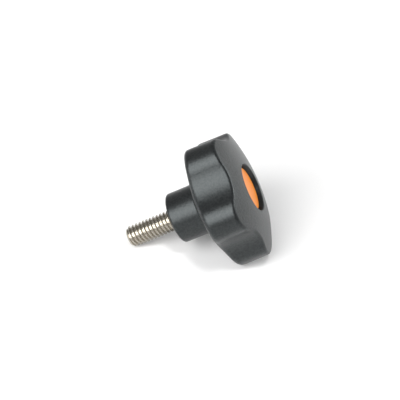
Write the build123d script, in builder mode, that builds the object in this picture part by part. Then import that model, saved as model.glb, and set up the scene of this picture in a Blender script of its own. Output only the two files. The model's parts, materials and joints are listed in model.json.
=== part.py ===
"""Lobed clamping knob with a moulded-in threaded stud and a coloured snap-in cap.

Every piece is first built about one straight knob axis: the stud's tip points down, the
cap faces up, and the hub's flat end face is at height 0. The finished pieces are then laid
down together as the loose knob comes to rest, on two lobes and the stud's tip, with the
ground at Z = 0 and the cap towards +X. All sizes are in millimetres.
"""

import os
from math import asin, atan2, cos, degrees, hypot, radians, sin, sqrt, tan

from build123d import *

# --- Head: the lobed hand grip ---------------------------------------------------------
LOBES = 5
HEAD_RADIUS = 25.0  # over the lobes, where they are widest
FLUTE_DEPTH = 5.25
LOBE_ARC_RADIUS = 8.2
GRIP_DRAFT = 0.8  # degrees, narrower towards the cap
REAR_RIM = 15.65  # height of the rear cone at the head's full radius
REAR_SLOPE = 0.288  # rise of the rear cone for each millimetre outwards
DOME_RADIUS = 72.8
DOME_TOP = 31.8  # height at which the dome would cross the axis
REAR_EDGE_FILLET = 2.0
FRONT_EDGE_FILLET = 1.2

# --- Hub: the round neck that clamps against the work ----------------------------------
HUB_RADIUS = 9.45
HUB_EDGE_FILLET = 1.0
HUB_ROOT_FILLET = 0.6
HUB_SINK = 2.0  # how far the hub runs on into the head before the two are one
HUB_MOUTH_RELIEF = 0.6  # depth over which the hub's hole is as wide as the stud's thread

# --- Recess in the dome ----------------------------------------------------------------
RECESS_MOUTH_RADIUS = 9.1
RECESS_FLOOR_RADIUS = 7.8
RECESS_DEPTH = 4.6
RECESS_LIP_FILLET = 0.5
SOCKET_RADIUS = 3.5  # blind hole in the recess's floor, for the cap's stem
SOCKET_DEPTH = 5.0

# --- Cap: a coloured cup-shaped disc on a barbed stem ----------------------------------
CAP_SINK = 1.6  # from the recess's mouth down to the cap's face
CAP_FACE_THICKNESS = 1.4
CAP_SKIRT_THICKNESS = 1.2
CAP_SIDE_CLEARANCE = 0.35
CAP_EDGE_FILLET = 0.35
STEM_LENGTH = 4.2  # below the recess's floor
STEM_CLEARANCE = 0.5  # between the stem's waist and the socket
BARB_HEIGHT = 1.2
BARB_COUNT = 2

# --- Threaded stud: 5/16-18 UNC, with a hexagon head held inside the moulding -----------
STUD_RADIUS = 7.9375 / 2
STUD_FREE_LENGTH = 19.05  # beyond the hub's end face
STUD_TIP_CHAMFER = 1.3  # along the stud
STUD_TIP_BEVEL = 0.85  # across the stud
SHANK_RADIUS = 3.55  # unthreaded shank, inside the hub
SHANK_LENGTH = 9.0  # from the hub's end face to the hexagon
ANCHOR_ACROSS_FLATS = 12.7
ANCHOR_THICKNESS = 5.4

# --- Worked-out places -----------------------------------------------------------------
LOBE_STEP = 360.0 / LOBES
FLUTE_RADIUS = HEAD_RADIUS - FLUTE_DEPTH  # from the axis to the bottom of a flute
DOME_CENTRE = DOME_TOP - DOME_RADIUS
REAR_APEX = REAR_RIM - REAR_SLOPE * HEAD_RADIUS  # where the rear cone would cross the axis
HUB_LENGTH = REAR_APEX + REAR_SLOPE * HUB_RADIUS
RECESS_MOUTH = DOME_CENTRE + sqrt(DOME_RADIUS**2 - RECESS_MOUTH_RADIUS**2)
RECESS_FLOOR = RECESS_MOUTH - RECESS_DEPTH
RECESS_SLOPE = (RECESS_MOUTH_RADIUS - RECESS_FLOOR_RADIUS) / RECESS_DEPTH
CAP_FACE = RECESS_MOUTH - CAP_SINK
CAP_BACK = CAP_FACE - CAP_FACE_THICKNESS
STEM_END = RECESS_FLOOR - STEM_LENGTH


def recess_radius(height):
    """Radius of the recess's tapered wall at a height."""
    return RECESS_FLOOR_RADIUS + RECESS_SLOPE * (height - RECESS_FLOOR)


HALF_STEP = radians(LOBE_STEP / 2)


def around(radius, angle):
    """A point at a distance from the axis, in a direction in degrees."""
    return Vector(radius, 0).rotate(Axis.Z, angle)


def draw_grip_outline(radius, flute):
    """Closed line of lobe arcs and flute arcs, each touching the next. +X is between two lobes.

    The flute's arc radius follows from the triangle between the knob's axis, a lobe's
    centre and the flute's centre.
    """
    lobe_centre = radius - LOBE_ARC_RADIUS
    overlap = lobe_centre * cos(HALF_STEP) + LOBE_ARC_RADIUS - flute
    square = lobe_centre**2 + flute**2 - LOBE_ARC_RADIUS**2
    flute_arc_radius = (square / 2 - lobe_centre * flute * cos(HALF_STEP)) / overlap
    flute_centre = flute + flute_arc_radius
    touch = degrees(
        atan2(flute_centre * sin(HALF_STEP), flute_centre * cos(HALF_STEP) - lobe_centre)
    )  # from a lobe's own direction round to where it meets the flute

    def touch_point(lobe, side):
        direction = LOBE_STEP * (lobe + 0.5)
        return around(lobe_centre, direction) + around(LOBE_ARC_RADIUS, direction + side * touch)

    for lobe in range(LOBES):
        crown = around(radius, LOBE_STEP * (lobe + 0.5))
        flute_bottom = around(flute, LOBE_STEP * (lobe + 1))
        ThreePointArc(touch_point(lobe, -1), crown, touch_point(lobe, 1))
        ThreePointArc(touch_point(lobe, 1), flute_bottom, touch_point(lobe + 1, -1))


# --- Knob body: head and hub, one moulding ----------------------------------------------
with BuildPart() as knob_body:
    # Head: a drafted lobed prism between a rear cone and a shallow dome.
    with BuildSketch(Plane.XY.offset(REAR_APEX)):
        with BuildLine():
            draw_grip_outline(HEAD_RADIUS, FLUTE_RADIUS)
        make_face()
    extrude(amount=DOME_TOP - REAR_APEX, taper=GRIP_DRAFT)
    with Locations((0, 0, DOME_CENTRE)):
        Sphere(DOME_RADIUS, mode=Mode.INTERSECT)
    with BuildSketch(Plane.XZ):
        Polygon(
            (0, REAR_APEX),
            (HEAD_RADIUS + 1, REAR_RIM + REAR_SLOPE),
            (HEAD_RADIUS + 1, 0),
            (0, 0),
            align=None,
        )
    revolve(axis=Axis.Z, mode=Mode.SUBTRACT)
    dome = knob_body.faces().filter_by(GeomType.SPHERE)
    fillet(dome.edges(), FRONT_EDGE_FILLET)
    rear_cone = knob_body.faces().filter_by(GeomType.CONE).sort_by(Axis.Z)[0]
    fillet(rear_cone.edges(), REAR_EDGE_FILLET)

    # Hub, from its end face up into the head.
    with BuildSketch(Plane.XY):
        Circle(HUB_RADIUS)
    extrude(amount=HUB_LENGTH + HUB_SINK)
    hub_end = knob_body.faces().filter_by(GeomType.PLANE).sort_by(Axis.Z)[0]
    fillet(hub_end.edges(), HUB_EDGE_FILLET)
    circles = knob_body.edges().filter_by(GeomType.CIRCLE)
    hub_circles = circles.filter_by(lambda edge: abs(edge.radius - HUB_RADIUS) < 0.01)
    hub_root = hub_circles.sort_by(Axis.Z)[-1]
    fillet(hub_root, HUB_ROOT_FILLET)

    # Recess for the cap, with a blind socket for the cap's stem in its floor.
    with BuildSketch(Plane.XY.offset(RECESS_FLOOR)):
        Circle(RECESS_FLOOR_RADIUS)
    extrude(amount=DOME_TOP - RECESS_FLOOR, taper=-degrees(atan2(RECESS_SLOPE, 1)), mode=Mode.SUBTRACT)
    dome = knob_body.faces().filter_by(GeomType.SPHERE)
    lip = dome.edges().sort_by(Axis.Z)[-1]
    fillet(lip, RECESS_LIP_FILLET)
    with BuildSketch(Plane.XY.offset(RECESS_FLOOR)):
        Circle(SOCKET_RADIUS)
    extrude(amount=-SOCKET_DEPTH, mode=Mode.SUBTRACT)

    # The moulding closes round the stud's shank and its hexagon head.
    with BuildSketch(Plane.XY):
        Circle(SHANK_RADIUS)
    extrude(amount=SHANK_LENGTH, mode=Mode.SUBTRACT)
    with BuildSketch(Plane.XY.offset(SHANK_LENGTH)):
        RegularPolygon(ANCHOR_ACROSS_FLATS / 2, 6, major_radius=False)
    extrude(amount=ANCHOR_THICKNESS, mode=Mode.SUBTRACT)
    with BuildSketch(Plane.XY):
        Circle(STUD_RADIUS)
    extrude(amount=HUB_MOUTH_RELIEF, mode=Mode.SUBTRACT)

# --- Threaded stud: the thread is left as its outside diameter ---------------------------
with BuildPart() as threaded_stud:
    with BuildSketch(Plane.XY):
        Circle(STUD_RADIUS)
    extrude(amount=-STUD_FREE_LENGTH)
    tip = threaded_stud.faces().sort_by(Axis.Z)[0]
    chamfer(tip.edges(), STUD_TIP_BEVEL, STUD_TIP_CHAMFER, reference=tip)
    with BuildSketch(Plane.XY):
        Circle(SHANK_RADIUS)
    extrude(amount=SHANK_LENGTH)
    with BuildSketch(Plane.XY.offset(SHANK_LENGTH)):
        RegularPolygon(ANCHOR_ACROSS_FLATS / 2, 6, major_radius=False)
    extrude(amount=ANCHOR_THICKNESS)

# --- Cap: its skirt stands on the recess's floor, its barbs grip the socket's wall --------
with BuildPart() as cap:
    skirt_foot = RECESS_FLOOR_RADIUS - CAP_SIDE_CLEARANCE
    face_edge = recess_radius(CAP_FACE) - CAP_SIDE_CLEARANCE
    waist = SOCKET_RADIUS - STEM_CLEARANCE
    skirt_inside = skirt_foot - CAP_SKIRT_THICKNESS
    with BuildSketch(Plane.XZ):
        Polygon(
            (0, STEM_END),
            (waist, STEM_END),
            (waist, CAP_BACK),
            (skirt_inside, CAP_BACK),
            (skirt_inside, RECESS_FLOOR),
            (skirt_foot, RECESS_FLOOR),
            (face_edge, CAP_FACE),
            (0, CAP_FACE),
            align=None,
        )
        for barb in range(BARB_COUNT):
            foot = STEM_END + BARB_HEIGHT * barb
            top = foot + BARB_HEIGHT
            Polygon((0, foot), (waist, foot), (SOCKET_RADIUS, top), (0, top), align=None)
    revolve(axis=Axis.Z)
    face_rim = cap.faces().filter_by(GeomType.PLANE).sort_by(Axis.Z)[-1].edges()
    fillet(face_rim, CAP_EDGE_FILLET)

# --- Laying the knob down -----------------------------------------------------------------
# Seen from the side, the ground is a straight line. It passes the last full-width corner of
# the stud's tip and touches a ball that fits in the rear fillet of the two lowest lobes.
tip_corner = (STUD_RADIUS, STUD_TIP_CHAMFER - STUD_FREE_LENGTH)
lobe_reach = (HEAD_RADIUS - LOBE_ARC_RADIUS) * cos(HALF_STEP) + LOBE_ARC_RADIUS
draft_inset = (REAR_RIM - REAR_APEX) * tan(radians(GRIP_DRAFT))
ball_reach = lobe_reach - draft_inset - REAR_EDGE_FILLET
ball_radius = hypot(ball_reach, (HEAD_RADIUS - LOBE_ARC_RADIUS) * sin(HALF_STEP))
ball_height = REAR_APEX + REAR_SLOPE * ball_radius + REAR_EDGE_FILLET * hypot(1, REAR_SLOPE)
across = ball_reach - tip_corner[0]
along = ball_height - tip_corner[1]
ground_angle = degrees(atan2(along, across) - asin(REAR_EDGE_FILLET / hypot(across, along)))
turn = Location((0, 0, 0), (0, ground_angle, 0))

pieces = [knob_body, threaded_stud, cap]
boxes = [piece.part.moved(turn).bounding_box() for piece in pieces]
middle = (min(box.min.X for box in boxes) + max(box.max.X for box in boxes)) / 2
ground = min(box.min.Z for box in boxes)
resting_place = Location((-middle, 0, -ground)) * turn
for piece in pieces:
    piece.part.locate(resting_place)

knob_body.part.label = "knob_body"
threaded_stud.part.label = "threaded_stud"
cap.part.label = "cap"

os.makedirs("parts", exist_ok=True)
export_step(knob_body.part, "parts/knob_body.step")
export_step(threaded_stud.part, "parts/threaded_stud.step")
export_step(cap.part, "parts/cap.step")
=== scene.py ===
"""Looks for the lobed clamping knob: moulded black plastic, orange cap, bright rolled thread.

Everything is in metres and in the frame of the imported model. The knob lies on the floor,
on two lobes and the stud's tip, with its axis rising towards +X.
"""

import json
from math import radians

import bpy
import numpy as np
from mathutils import Euler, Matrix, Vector


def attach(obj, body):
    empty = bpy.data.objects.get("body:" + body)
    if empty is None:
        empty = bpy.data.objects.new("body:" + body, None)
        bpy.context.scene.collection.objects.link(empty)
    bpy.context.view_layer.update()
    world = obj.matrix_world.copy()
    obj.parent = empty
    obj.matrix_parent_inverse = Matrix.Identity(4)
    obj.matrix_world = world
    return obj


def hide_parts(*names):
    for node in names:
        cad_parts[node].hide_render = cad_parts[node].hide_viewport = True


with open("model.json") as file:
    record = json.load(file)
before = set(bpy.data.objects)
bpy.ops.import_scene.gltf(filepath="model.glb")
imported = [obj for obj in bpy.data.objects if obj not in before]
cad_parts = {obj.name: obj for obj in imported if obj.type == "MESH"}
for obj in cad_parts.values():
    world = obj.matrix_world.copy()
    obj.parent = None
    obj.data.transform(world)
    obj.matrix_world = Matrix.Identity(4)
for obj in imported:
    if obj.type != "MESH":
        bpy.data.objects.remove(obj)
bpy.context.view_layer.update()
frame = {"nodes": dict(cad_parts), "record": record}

MM = 0.001
MOUNTS = {mount["name"]: mount for mount in frame["record"]["mounts"]}

# The knob's axis, from the stud's tip towards the cap, and the hub's end face on it.
AXIS = -Vector(MOUNTS["stud"]["axis"]).normalized()
STUD_MIDDLE = Vector(MOUNTS["stud"]["pos_m"])
STUD_RADIUS = MOUNTS["stud"]["dims"]["r_mm"] * MM
STUD_WALL = MOUNTS["stud"]["dims"]["length_mm"] * MM  # without the tip's chamfer
HUB_FACE = STUD_MIDDLE + AXIS * STUD_WALL / 2
ACROSS = Vector((0, 1, 0))  # square to the axis, level
UPWARD = AXIS.cross(ACROSS)  # square to both, away from the ground

CAP_HEIGHT = 29.6 * MM  # from the hub's end face to the cap's face
CAP_MIDDLE = HUB_FACE + AXIS * CAP_HEIGHT

# 5/16-18 UNC thread
THREAD_PITCH = 25.4 * MM / 18
THREAD_DEPTH = 0.6134 * THREAD_PITCH
CREST_FLAT = 0.125  # share of the pitch
FLANK = 0.6134 * 0.57735  # share of the pitch under one 30-degree flank
ROLLED_SHARE = 0.28  # how much of the profile is the cosine, the rest being straight
TIP_CHAMFER = 1.3 * MM
TIP_BEVEL = 0.85 * MM
CREST_START = 0.3  # share of a pitch by which the crest on +Y leads the hub's end face
STEPS_PER_TURN = 48  # as many columns round the stud as rows in one pitch


# --- Mesh making ------------------------------------------------------------------------

def mesh_piece(name, points, faces, smooth_angle=35.0):
    """Puts arrays of points and faces into a mesh object that rides on the knob."""
    mesh = bpy.data.meshes.new(name)
    mesh.from_pydata(points.tolist(), [], faces)
    mesh.validate()
    mesh.update()
    piece = bpy.data.objects.new(name, mesh)
    bpy.context.scene.collection.objects.link(piece)
    mesh.shade_smooth()
    mesh.set_sharp_from_angle(angle=radians(smooth_angle))
    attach(piece, "root")
    return piece


def along_the_knob(across, upward, height):
    """Points given square to the knob's axis and along it from the hub's face, in the frame."""
    return (
        np.array(HUB_FACE)
        + np.multiply.outer(across, np.array(ACROSS))
        + np.multiply.outer(upward, np.array(UPWARD))
        + np.multiply.outer(height, np.array(AXIS))
    )


def thread_radius(phase):
    """Radius of the thread at a phase of its pitch, from 0 to 1.

    The crest is a flat about phase 0, the flanks fall away at 30 degrees to the square
    section, and what is left is the root. A cosine softens the rolled corners.
    """
    from_crest = np.abs((phase + 0.5) % 1.0 - 0.5)
    down = np.clip((from_crest - CREST_FLAT / 2) / FLANK, 0, 1)
    rolled = 0.5 - 0.5 * np.cos(np.pi * down)
    return STUD_RADIUS - THREAD_DEPTH * ((1 - ROLLED_SHARE) * down + ROLLED_SHARE * rolled)


def threaded_stud():
    """Free length of the stud, as a height field round its axis.

    Radius over (turn, height) is the thread's profile at phase height / pitch - turn - start, cut
    down to the cone of the tip's chamfer. One column round is one row along, so the crest
    and root run along the diagonals of the grid, and the triangles follow them.
    """
    length = STUD_WALL + TIP_CHAMFER
    rows = int(round(length / THREAD_PITCH * STEPS_PER_TURN)) + 1
    height = np.linspace(-length, 0, rows)[:, None]
    turn = np.arange(STEPS_PER_TURN)[None, :] / STEPS_PER_TURN
    cone = STUD_RADIUS - TIP_BEVEL + (height + length) * TIP_BEVEL / TIP_CHAMFER
    radius = np.minimum(thread_radius(height / THREAD_PITCH - turn - CREST_START), cone)
    angle = 2 * np.pi * turn
    ring = along_the_knob(radius * np.cos(angle), radius * np.sin(angle), height + 0 * angle)
    points = ring.reshape(-1, 3)
    row, column = np.meshgrid(np.arange(rows - 1), np.arange(STEPS_PER_TURN), indexing="ij")
    beside = (column + 1) % STEPS_PER_TURN
    a = row * STEPS_PER_TURN + column
    b = row * STEPS_PER_TURN + beside
    c = b + STEPS_PER_TURN
    d = a + STEPS_PER_TURN
    triangles = np.concatenate([np.stack([a, b, c], -1), np.stack([a, c, d], -1)]).reshape(-1, 3)
    first = list(range(STEPS_PER_TURN))
    last = [index + (rows - 1) * STEPS_PER_TURN for index in first]
    return mesh_piece("thread", points, triangles.tolist() + [first[::-1], last])


# --- Shader helpers -----------------------------------------------------------------------

def new_material(name):
    """A new material, with its node tree and its Principled BSDF."""
    material = bpy.data.materials.new(name)
    material.use_nodes = True
    tree = material.node_tree
    return material, tree, tree.nodes["Principled BSDF"]


def spread(tree, source, low, high, socket):
    """Feeds a shader's socket a value, mapped straight between two (value, result) pairs."""
    span = tree.nodes.new("ShaderNodeMapRange")
    span.inputs["From Min"].default_value, span.inputs["To Min"].default_value = low
    span.inputs["From Max"].default_value, span.inputs["To Max"].default_value = high
    tree.links.new(source, span.inputs["Value"])
    tree.links.new(span.outputs["Result"], socket)


def speckle(tree, shader, grain, darker, lighter):
    """Mottles the base colour between two colours with the grain's specks."""
    tone = tree.nodes.new("ShaderNodeMix")
    tone.data_type = "RGBA"
    tone.inputs["A"].default_value = (*darker, 1)
    tone.inputs["B"].default_value = (*lighter, 1)
    tree.links.new(grain.outputs["Speck"], tone.inputs["Factor"])
    tree.links.new(tone.outputs["Result"], shader.inputs["Base Color"])


def moulded_grain_group():
    """Sparked mould texture: fine rounded pits over a slow unevenness of the surface."""
    group = bpy.data.node_groups.new("moulded_grain", "ShaderNodeTree")
    interface = group.interface
    interface.new_socket("Vector", in_out="INPUT", socket_type="NodeSocketVector")
    grain = interface.new_socket("Grain size", in_out="INPUT", socket_type="NodeSocketFloat")
    grain.default_value = 0.3
    interface.new_socket("Height", in_out="OUTPUT", socket_type="NodeSocketFloat")
    interface.new_socket("Speck", in_out="OUTPUT", socket_type="NodeSocketFloat")
    nodes, links = group.nodes, group.links
    enter, leave = nodes.new("NodeGroupInput"), nodes.new("NodeGroupOutput")
    scale = nodes.new("ShaderNodeMath")
    scale.operation = "DIVIDE"
    scale.inputs[0].default_value = 1000.0
    links.new(enter.outputs["Grain size"], scale.inputs[1])
    fine = nodes.new("ShaderNodeTexNoise")
    fine.inputs["Detail"].default_value = 2.0
    fine.inputs["Roughness"].default_value = 0.6
    pits = nodes.new("ShaderNodeTexVoronoi")
    pits.feature = "SMOOTH_F1"
    pits.inputs["Smoothness"].default_value = 0.6
    for texture in (fine, pits):
        links.new(enter.outputs["Vector"], texture.inputs["Vector"])
        links.new(scale.outputs[0], texture.inputs["Scale"])
    both = nodes.new("ShaderNodeMath")
    both.operation = "ADD"
    links.new(fine.outputs["Fac"], both.inputs[0])
    links.new(pits.outputs["Distance"], both.inputs[1])
    links.new(both.outputs[0], leave.inputs["Height"])
    links.new(fine.outputs["Fac"], leave.inputs["Speck"])
    return group


MOULDED_GRAIN = moulded_grain_group()


def add_grain(tree, shader, size_mm, depth_mm, roughness, speck):
    """Places the moulded grain in a material: bump, and roughness that varies with the specks."""
    nodes, links = tree.nodes, tree.links
    place = nodes.new("ShaderNodeTexCoord")
    grain = nodes.new("ShaderNodeGroup")
    grain.node_tree = MOULDED_GRAIN
    grain.inputs["Grain size"].default_value = size_mm
    links.new(place.outputs["Object"], grain.inputs["Vector"])
    bump = nodes.new("ShaderNodeBump")
    bump.inputs["Strength"].default_value = 1.0
    bump.inputs["Distance"].default_value = depth_mm * MM
    links.new(grain.outputs["Height"], bump.inputs["Height"])
    links.new(bump.outputs["Normal"], shader.inputs["Normal"])
    low, high = (0.3, roughness - speck), (0.7, roughness + speck)
    spread(tree, grain.outputs["Speck"], low, high, shader.inputs["Roughness"])
    return grain


def knob_plastic():
    """Black glass-filled polyamide, satin, with a fine sparked grain."""
    material, tree, shader = new_material("knob_plastic")
    grain = add_grain(tree, shader, size_mm=0.7, depth_mm=0.03, roughness=0.36, speck=0.06)
    speckle(tree, shader, grain, (0.003, 0.0033, 0.0036), (0.008, 0.0085, 0.009))
    spread(tree, grain.outputs["Speck"], (0.35, 0.0), (0.65, 0.34), shader.inputs["Coat Weight"])
    shader.inputs["Coat Roughness"].default_value = 0.36
    shader.inputs["Coat Tint"].default_value = (0.96, 1.0, 1.0, 1)
    shader.inputs["Specular IOR Level"].default_value = 0.45
    shader.inputs["Specular Tint"].default_value = (0.90, 0.99, 1.0, 1)
    return material


def cap_plastic():
    """Orange moulded plastic, a little glossier than the body."""
    material, tree, shader = new_material("cap_plastic")
    grain = add_grain(tree, shader, size_mm=0.4, depth_mm=0.008, roughness=0.36, speck=0.04)
    speckle(tree, shader, grain, (0.90, 0.26, 0.016), (0.96, 0.30, 0.026))
    shader.inputs["Specular IOR Level"].default_value = 0.35
    shader.inputs["Subsurface Weight"].default_value = 0.05
    shader.inputs["Subsurface Radius"].default_value = (0.002, 0.0008, 0.0003)
    return material


def stud_steel():
    """Rolled steel with a thin yellowish passivation."""
    material, tree, shader = new_material("stud_steel")
    shader.inputs["Metallic"].default_value = 1.0
    add_grain(tree, shader, size_mm=0.25, depth_mm=0.004, roughness=0.24, speck=0.04)
    shader.inputs["Base Color"].default_value = (0.46, 0.43, 0.375, 1)
    return material


def dress(piece, material):
    """Gives a piece one material on every face."""
    piece.data.materials.clear()
    piece.data.materials.append(material)
    piece.data.polygons.foreach_set("material_index", np.zeros(len(piece.data.polygons), np.int32))


# --- Stage ---------------------------------------------------------------------------------

FLOOR_SIZE = 4.0
POOL_MIDDLE = Vector((0.045, -0.030, 0))  # where the floor is brightest
CAMERA_TARGET = Vector((0.0005, 0.0010, 0.0195))
CAMERA_AZIMUTH = -3.24
CAMERA_ELEVATION = 40.67
CAMERA_ROLL = 1.06
CAMERA_DISTANCE = 0.800
VIEW_WIDTH = 0.1452  # what the picture spans at the target
SENSOR_WIDTH = 36.0


def direction(azimuth, elevation):
    """Unit vector from the knob towards an azimuth and elevation, azimuth 0 being -Y."""
    a, e = radians(azimuth), radians(elevation)
    return Vector((np.sin(a) * np.cos(e), -np.cos(a) * np.cos(e), np.sin(e)))


def add_camera():
    """Long-lens camera, looking down on the knob from the front."""
    data = bpy.data.cameras.new("camera")
    data.sensor_width = SENSOR_WIDTH
    data.lens = SENSOR_WIDTH * CAMERA_DISTANCE / VIEW_WIDTH
    data.clip_start = 0.01
    camera = bpy.data.objects.new("camera", data)
    back = direction(CAMERA_AZIMUTH, CAMERA_ELEVATION)
    camera.location = CAMERA_TARGET + back * CAMERA_DISTANCE
    aim = back.to_track_quat("Z", "Y")
    camera.rotation_mode = "QUATERNION"
    camera.rotation_quaternion = aim @ Euler((0, 0, radians(CAMERA_ROLL))).to_quaternion()
    bpy.context.scene.collection.objects.link(camera)
    bpy.context.scene.camera = camera


def add_floor():
    """Plain pale floor."""
    half = FLOOR_SIZE / 2
    mesh = bpy.data.meshes.new("floor")
    corners = [(-half, -half, 0), (half, -half, 0), (half, half, 0), (-half, half, 0)]
    mesh.from_pydata(corners, [], [(0, 1, 2, 3)])
    floor = bpy.data.objects.new("floor", mesh)
    bpy.context.scene.collection.objects.link(floor)
    material, tree, shader = new_material("floor_white")
    shader.inputs["Base Color"].default_value = (0.93, 0.93, 0.93, 1)
    shader.inputs["Roughness"].default_value = 0.9
    shader.inputs["Specular IOR Level"].default_value = 0.1
    mesh.materials.append(material)
    return floor


def hang_light(data, aim, azimuth, elevation, distance):
    """Places a light at a distance from a point, turned to face it."""
    light = bpy.data.objects.new(data.name, data)
    back = direction(azimuth, elevation)
    light.location = aim + back * distance
    light.rotation_mode = "QUATERNION"
    light.rotation_quaternion = back.to_track_quat("Z", "Y")
    bpy.context.scene.collection.objects.link(light)
    return light


def add_softbox(name, azimuth, elevation, width, height, radiance, distance=1.0):
    """Rectangular light aimed at the knob. Its power is its radiance times pi times its area."""
    data = bpy.data.lights.new(name, "AREA")
    data.shape = "RECTANGLE"
    data.size = width
    data.size_y = height
    data.energy = radiance * np.pi * width * height
    hang_light(data, CAMERA_TARGET, azimuth, elevation, distance)


def add_snoot(name, aim, azimuth, elevation, cone, softness, power, distance=1.0):
    """Narrow spot light aimed at a point, its whole cone given in degrees."""
    data = bpy.data.lights.new(name, "SPOT")
    data.energy = power
    data.spot_size = radians(cone)
    data.spot_blend = 1.0
    data.shadow_soft_size = softness
    return hang_light(data, aim, azimuth, elevation, distance)


def light_only(light, receiver):
    """Flags a light off from everything but one object."""
    lit = bpy.data.collections.new(light.name + "_receiver")
    lit.objects.link(receiver)
    light.light_linking.receiver_collection = lit


def add_surroundings(strength):
    """Even pale surroundings."""
    world = bpy.data.worlds.new("surroundings")
    world.use_nodes = True
    background = world.node_tree.nodes["Background"]
    background.inputs["Color"].default_value = (1, 1, 1, 1)
    background.inputs["Strength"].default_value = strength
    bpy.context.scene.world = world


# --- The knob --------------------------------------------------------------------------------

dress(frame["nodes"]["knob_body"], knob_plastic())
dress(frame["nodes"]["cap"], cap_plastic())

stud = threaded_stud()
dress(stud, stud_steel())
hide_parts("threaded_stud")

add_camera()
floor = add_floor()
add_softbox("left_softbox", azimuth=-46, elevation=35, width=0.8, height=0.9, radiance=5.8)
add_softbox("right_panel", azimuth=112, elevation=14, width=0.9, height=0.5, radiance=1.6)
add_snoot("cap_snoot", CAP_MIDDLE, azimuth=105, elevation=32, cone=4, softness=0.02, power=14)
pool = add_snoot(
    "floor_pool",
    POOL_MIDDLE,
    azimuth=20,
    elevation=70,
    cone=14,
    softness=0.25,
    power=90,
    distance=1.2,
)
light_only(pool, floor)
add_surroundings(0.43)
bpy.context.scene.view_settings.view_transform = "Standard"
